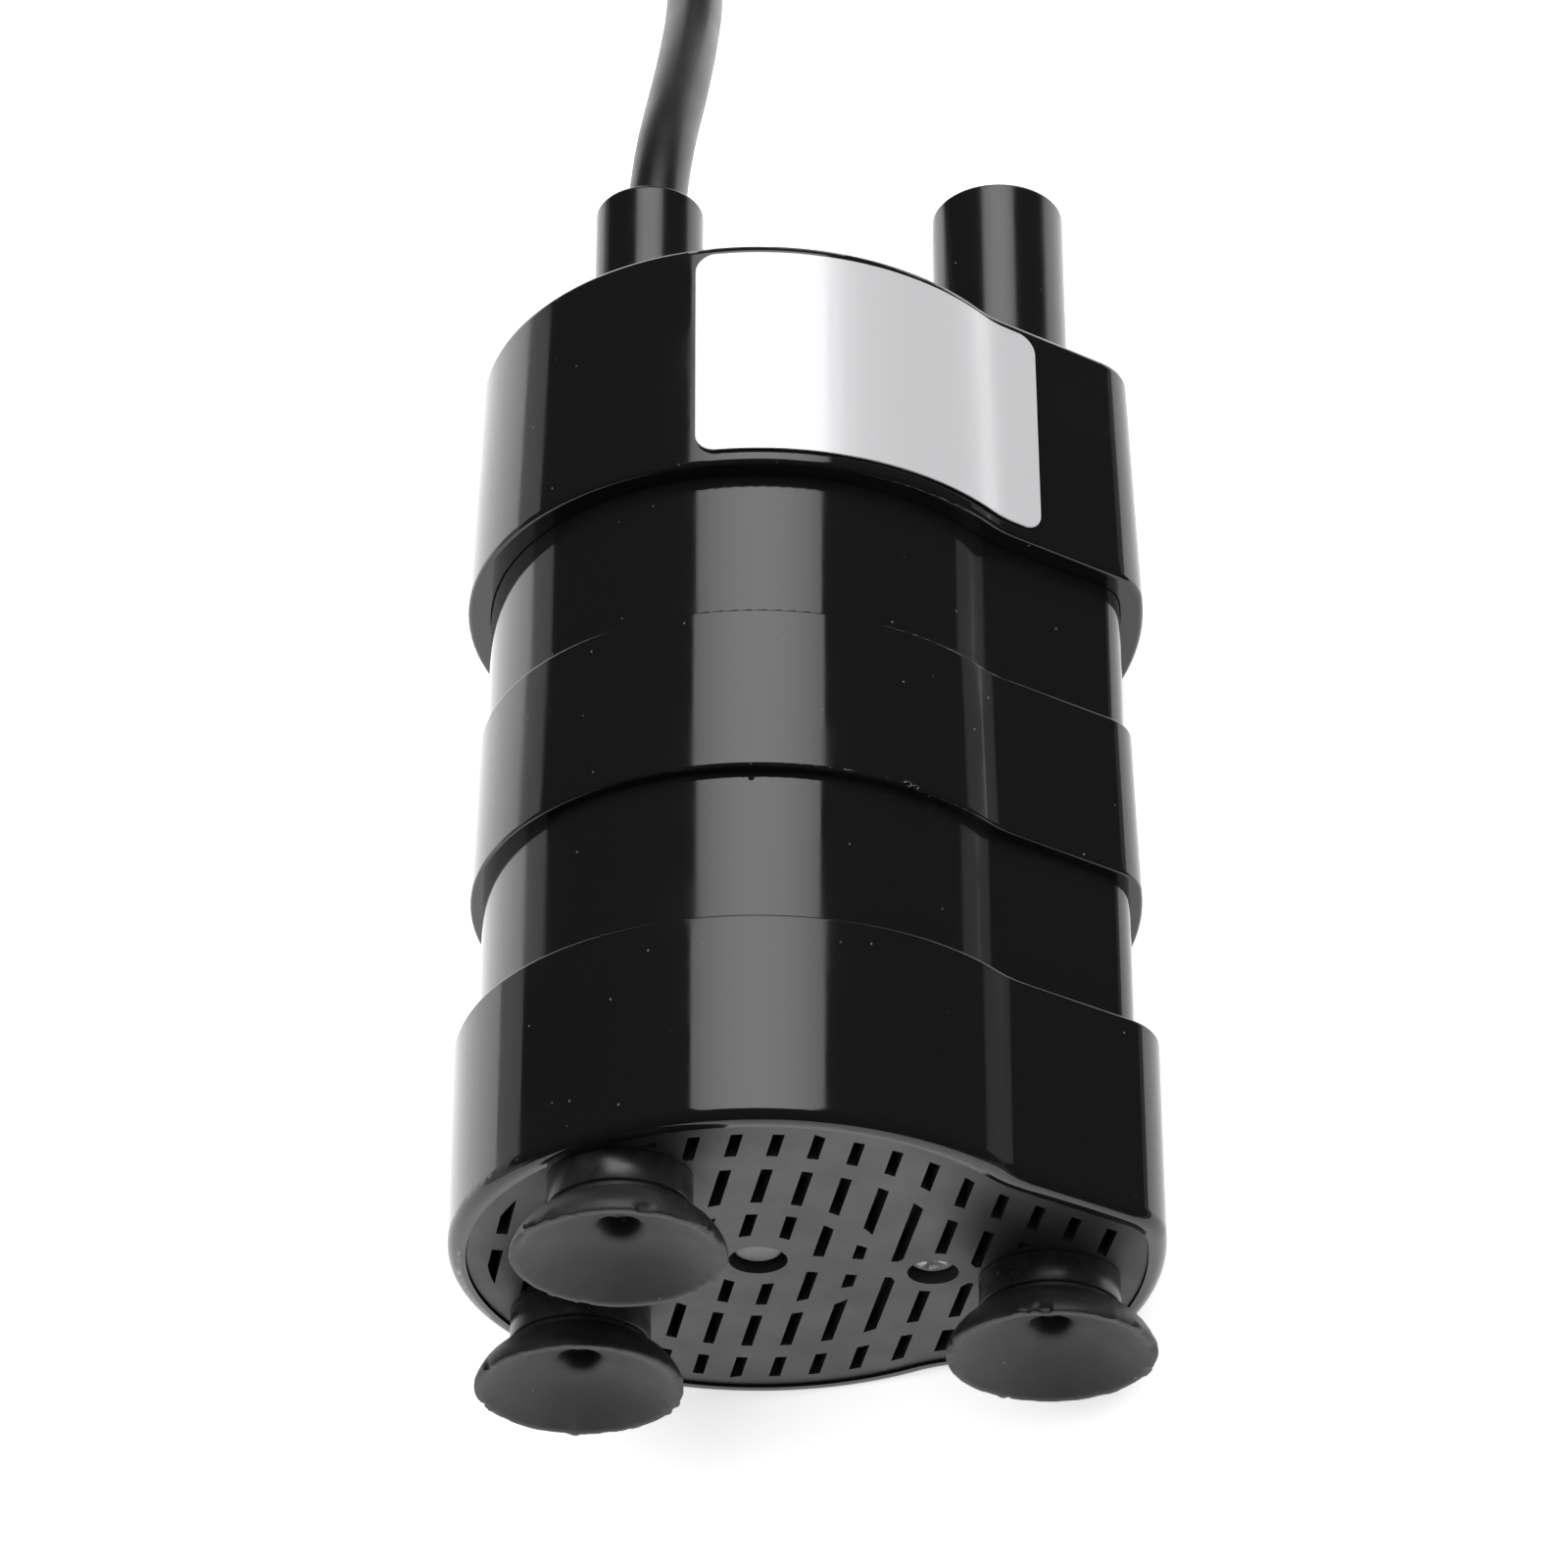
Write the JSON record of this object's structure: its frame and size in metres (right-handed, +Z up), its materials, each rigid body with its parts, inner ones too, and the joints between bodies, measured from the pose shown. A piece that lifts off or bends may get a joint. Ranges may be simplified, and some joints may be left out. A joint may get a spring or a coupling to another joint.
{
  "type": "submersible aquarium pump filter",
  "caption": "Small submersible pump filter with a slotted suction base on rubber suction cups, a top hose outlet and a corded low-voltage motor.",
  "frame": {"origin": "on the floor, under the middle of the pump's own box as it lies on its back, the cord left out", "axes": "+Y along the pump axis from the suction cups to the hose outlet, +Z up from the floor, +X to the side of the blunt lobe that holds the riser"},
  "size_m": [0.0686, 0.4122, 0.06],
  "materials": {
    "casing": "glossy moulded ABS",
    "strainer": "satin moulded ABS",
    "cup_rubber": "matte moulded rubber",
    "pale_plastic": "matte moulded acetal",
    "impeller_plastic": "matte moulded nylon",
    "seal_rubber": "matte rubber",
    "foam": "open-cell foam",
    "label": "satin silver-white film",
    "screw_steel": "bright plated steel",
    "can_steel": "drawn steel",
    "copper": "enamelled copper",
    "bronze": "sintered bronze and brass",
    "ferrite": "sintered ferrite",
    "carbon": "pressed carbon",
    "potting": "cast epoxy",
    "lead_wire": "soft PVC",
    "cable_sheath": "matte rubber sheath",
    "tie": "satin plastic",
    "plug_rubber": "satin moulded PVC",
    "plug_metal": "nickel plate"
  },
  "bodies": {
    "root": {"base_cup": "casing", "lower_tube": "casing", "band_collar": "casing", "upper_tube": "casing", "top_cap": "casing", "outlet_tube": "casing", "cable_gland": "casing", "strainer_plate": "strainer", "suction_cup_1": "cup_rubber", "suction_cup_2": "cup_rubber", "suction_cup_3": "cup_rubber", "pump_cover": "pale_plastic", "end_bell": "pale_plastic", "chamber_gasket": "seal_rubber", "shaft_seal": "seal_rubber", "cap_gasket": "seal_rubber", "lower_riser_seal": "seal_rubber", "upper_riser_seal": "seal_rubber", "foam_pad": "foam", "rating_label": "label", "strainer_screw": "screw_steel", "cover_screws": "screw_steel", "motor_screws": "screw_steel", "motor_can": "can_steel", "front_bush": "bronze", "rear_bush": "bronze", "motor_terminals": "bronze", "field_magnet_1": "ferrite", "field_magnet_2": "ferrite", "brush_1": "carbon", "brush_2": "carbon", "cable_seal": "potting", "supply_lead_1": "lead_wire", "supply_lead_2": "lead_wire", "power_cable": "cable_sheath", "cable_coil": "cable_sheath", "cable_tail": "cable_sheath", "cable_tie": "tie", "plug_body": "plug_rubber", "plug_barrel": "plug_metal"},
    "rotor": {"rotor_shaft": "screw_steel", "armature_core": "can_steel", "armature_windings": "copper", "commutator": "copper", "impeller": "impeller_plastic"}
  },
  "joints": [
    {"name": "rotor_spin", "type": "hinge", "parent": "root", "child": "rotor", "pos_m": [-0.00382, -0.01713, 0.02975], "axis": [0, 1, 0], "continuous": true}
  ]
}
